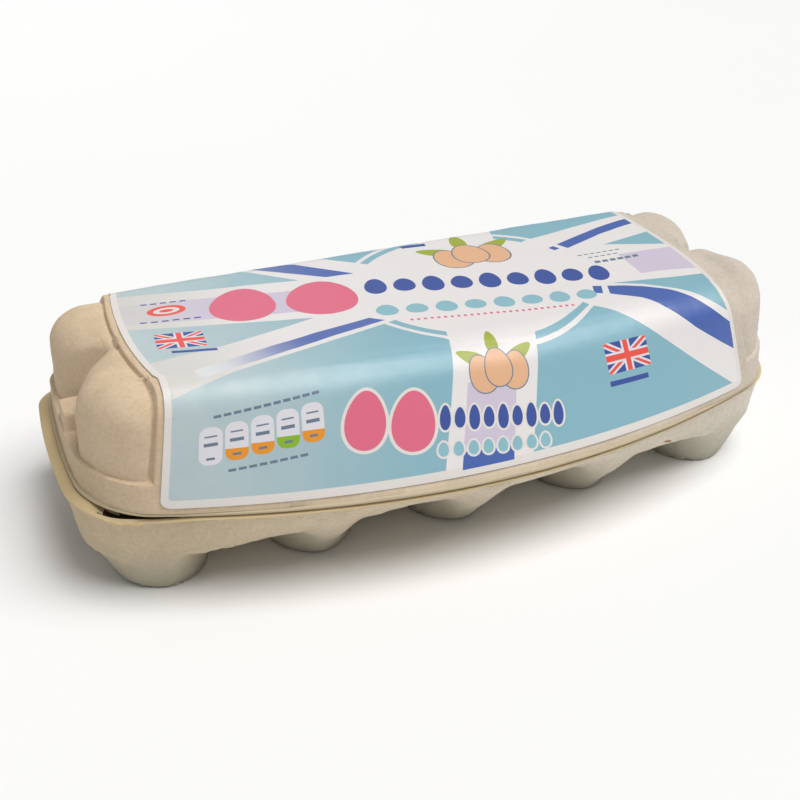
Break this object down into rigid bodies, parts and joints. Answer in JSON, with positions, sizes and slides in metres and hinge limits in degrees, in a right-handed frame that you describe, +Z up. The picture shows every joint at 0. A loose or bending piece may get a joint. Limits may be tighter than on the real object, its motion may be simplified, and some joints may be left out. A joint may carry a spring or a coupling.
{
  "type": "egg carton",
  "caption": "Shut moulded-pulp egg carton with rounded cups below, a domed lid with lobed ends and a printed paper label wrapped over the lid.",
  "frame": {"origin": "centre of the bounding box in plan, on the surface that the feet stand on", "axes": "+X along the carton's length to the right seen from its opening side, +Y from the opening side towards the hinge side, +Z up"},
  "size_m": [0.2576, 0.1164, 0.0717],
  "materials": {
    "tray_pulp": null,
    "lid_pulp": null,
    "label_paper": "semi-gloss coated printed paper"
  },
  "bodies": {
    "root": {"tray": "tray_pulp", "lid": "lid_pulp", "label": "label_paper"}
  },
  "joints": []
}
